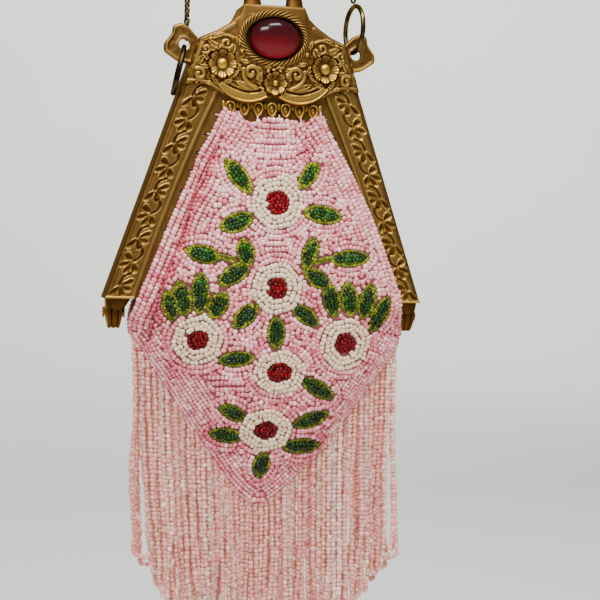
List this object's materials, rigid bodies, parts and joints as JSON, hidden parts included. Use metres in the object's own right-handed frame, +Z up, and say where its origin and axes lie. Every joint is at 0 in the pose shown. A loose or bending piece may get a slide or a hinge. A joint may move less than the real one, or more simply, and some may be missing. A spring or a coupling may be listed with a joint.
{
  "type": "beaded crossbody bag",
  "caption": "Pink beaded crossbody bag with flower motifs, a pointed fringed base, a cast brass hinged frame with a red cabochon, and a long fine chain.",
  "frame": {"origin": "hang point, under the top of the chain's loop, where a shoulder or hook carries the bag", "axes": "+X to the viewer's right, -Y out of the decorated front, +Z up"},
  "size_m": [0.1152, 0.0251, 0.7353],
  "materials": {
    "brass": "cast, gilt, with dark patina in the recesses and worn bright edges",
    "dark_brass": "darkened wire, worn bright on the outside",
    "garnet_glass": "polished clear glass",
    "pink_beads": "glossy seed beads sewn on cloth",
    "pale_beads": "clear pale glass seed beads on thread"
  },
  "bodies": {
    "root": {"front_frame": "brass", "back_frame": "brass", "hinge_pin_left": "brass", "hinge_pin_right": "brass", "cabochon": "garnet_glass", "ring_left": "dark_brass", "ring_right": "dark_brass", "chain": "dark_brass", "bag_body": "pink_beads", "fringe": "pale_beads"}
  },
  "joints": []
}
